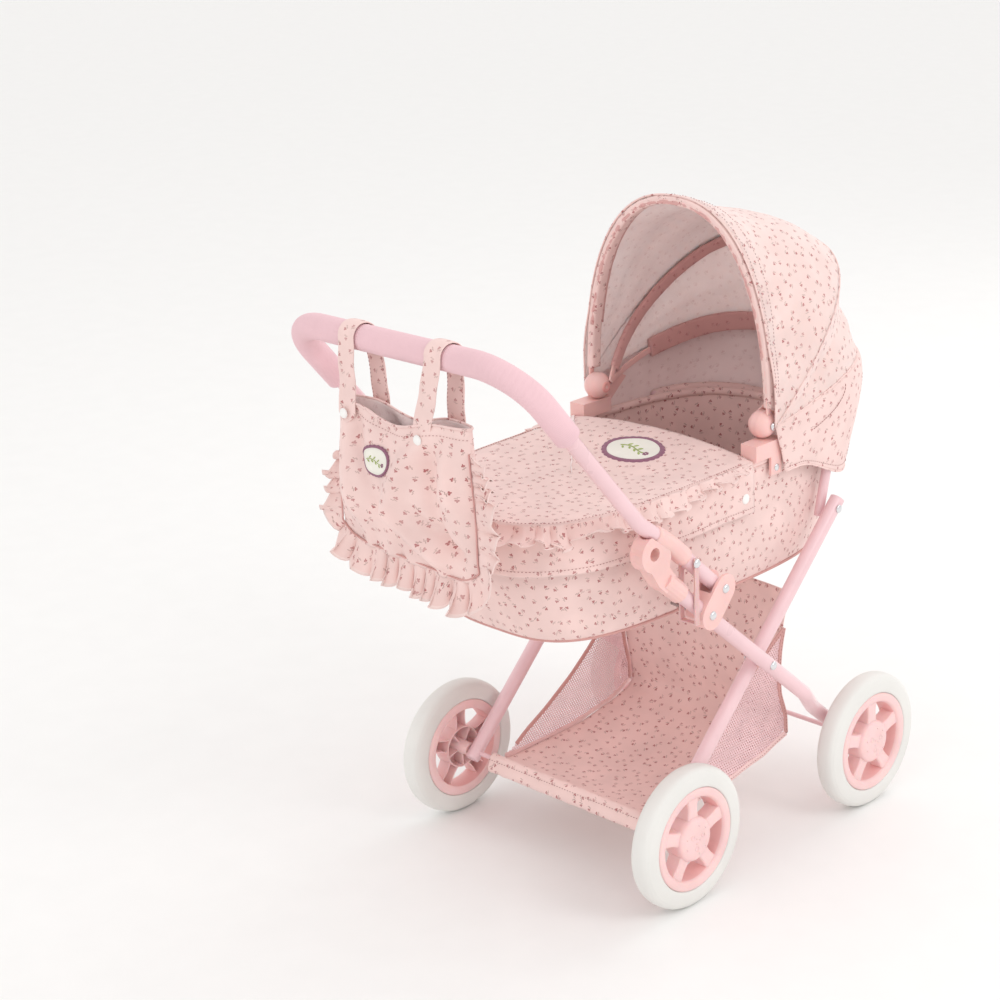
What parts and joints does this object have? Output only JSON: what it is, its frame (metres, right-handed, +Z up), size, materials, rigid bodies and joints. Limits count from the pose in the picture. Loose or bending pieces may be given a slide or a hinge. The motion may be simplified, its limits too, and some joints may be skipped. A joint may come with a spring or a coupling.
{
  "type": "doll's pram",
  "caption": "Folding doll's pram with crossed tube legs, spoked wheels, soft tub with ruffled cover, arched hood, sling basket and a bag hung on a foam-gripped U handle.",
  "frame": {"origin": "on the floor, under the middle of the object", "axes": "+Y the way the pram rolls, the hood end; -Y the handle; +X the pusher's right; +Z up"},
  "size_m": [0.3436, 0.6064, 0.6502],
  "materials": {
    "painted_tube": "satin powder coat",
    "pink_plastic": "satin moulded",
    "tyre": "matte foam",
    "foam_grip": "matte foam",
    "printed_cloth": "woven, small sprig print",
    "rivet_steel": "bright",
    "snap_white": "gloss"
  },
  "bodies": {
    "chassis": {"apron": "printed_cloth", "base_pad": "printed_cloth", "bracket_rivet_L": "rivet_steel", "bracket_rivet_R": "rivet_steel", "cross_rivet_L": "rivet_steel", "cross_rivet_R": "rivet_steel", "cross_spacer_L": "pink_plastic", "cross_spacer_R": "pink_plastic", "curtain": "printed_cloth", "fold_bracket_L": "pink_plastic", "fold_bracket_R": "pink_plastic", "front_axle": "rivet_steel", "front_hoop": "painted_tube", "front_leg_L": "painted_tube", "front_leg_R": "painted_tube", "handle_rivet_L": "rivet_steel", "handle_rivet_R": "rivet_steel", "hood_bow_rear": "pink_plastic", "hood_bracket_L": "pink_plastic", "hood_bracket_R": "pink_plastic", "hood_screw_L": "rivet_steel", "hood_screw_R": "rivet_steel", "latch_clip_L": "pink_plastic", "latch_clip_R": "pink_plastic", "leg_rivet_L": "rivet_steel", "leg_rivet_R": "rivet_steel", "rim_rod": "painted_tube", "snap_L": "snap_white", "snap_R": "snap_white", "tub": "printed_cloth"},
    "rear_frame": {"basket": "printed_cloth", "hoop_rivet_L": "rivet_steel", "hoop_rivet_R": "rivet_steel", "rear_axle": "rivet_steel", "rear_leg_L": "painted_tube", "rear_leg_R": "painted_tube"},
    "handle": {"handle_grip": "foam_grip", "handle_sleeve_L": "pink_plastic", "handle_sleeve_R": "pink_plastic", "handle_tube": "painted_tube", "safety_rivet_L": "rivet_steel", "safety_rivet_R": "rivet_steel", "safety_strap_L": "pink_plastic", "safety_strap_R": "pink_plastic"},
    "bag": {"bag": "printed_cloth", "bag_strap_L": "printed_cloth", "bag_strap_R": "printed_cloth"},
    "hood_middle": {"hood_bow_middle": "pink_plastic", "hood_panel_rear": "printed_cloth"},
    "hood_front": {"hood_bow_front": "pink_plastic", "hood_panel_front": "printed_cloth"},
    "wheel_FL": {"wheel_FL": "pink_plastic", "tyre_FL": "tyre"},
    "wheel_FR": {"wheel_FR": "pink_plastic", "tyre_FR": "tyre"},
    "wheel_RL": {"wheel_RL": "pink_plastic", "tyre_RL": "tyre"},
    "wheel_RR": {"wheel_RR": "pink_plastic", "tyre_RR": "tyre"}
  },
  "joints": [
    {"name": "frame_fold", "type": "hinge", "parent": "chassis", "child": "rear_frame", "pos_m": [0, 0.06025, 0.20546], "axis": [1, 0, 0], "range_deg": [0, 48], "deforming": ["basket"]},
    {"name": "handle_fold", "type": "hinge", "parent": "chassis", "child": "handle", "pos_m": [0, -0.01572, 0.31169], "axis": [1, 0, 0], "range_deg": [-50, 0], "deforming": ["safety_strap_L", "safety_strap_R"]},
    {"name": "bag_swing", "type": "hinge", "parent": "handle", "child": "bag", "pos_m": [0, -0.2735, 0.583], "axis": [1, 0, 0], "range_deg": [0, 50], "deforming": ["bag", "bag_strap_L", "bag_strap_R"]},
    {"name": "hood_middle_fold", "type": "hinge", "parent": "chassis", "child": "hood_middle", "pos_m": [0, 0.103, 0.436], "axis": [1, 0, 0], "range_deg": [-20, 0], "deforming": ["hood_panel_rear"]},
    {"name": "hood_fold", "type": "hinge", "parent": "hood_middle", "child": "hood_front", "pos_m": [0, 0.103, 0.436], "axis": [1, 0, 0], "range_deg": [-40, 0], "deforming": ["hood_panel_front"]},
    {"name": "wheel_spin_FL", "type": "hinge", "parent": "chassis", "child": "wheel_FL", "pos_m": [-0.1593, 0.21, 0.0725], "axis": [1, 0, 0], "continuous": true},
    {"name": "wheel_spin_FR", "type": "hinge", "parent": "chassis", "child": "wheel_FR", "pos_m": [0.1593, 0.21, 0.0725], "axis": [1, 0, 0], "continuous": true},
    {"name": "wheel_spin_RL", "type": "hinge", "parent": "rear_frame", "child": "wheel_RL", "pos_m": [-0.1593, -0.076, 0.0725], "axis": [1, 0, 0], "continuous": true},
    {"name": "wheel_spin_RR", "type": "hinge", "parent": "rear_frame", "child": "wheel_RR", "pos_m": [0.1593, -0.076, 0.0725], "axis": [1, 0, 0], "continuous": true}
  ],
  "couplings": [
    {"joint": "bag_swing", "follows": "handle_fold", "ratio": -1},
    {"joint": "hood_middle_fold", "follows": "hood_fold", "ratio": 0.5}
  ]
}
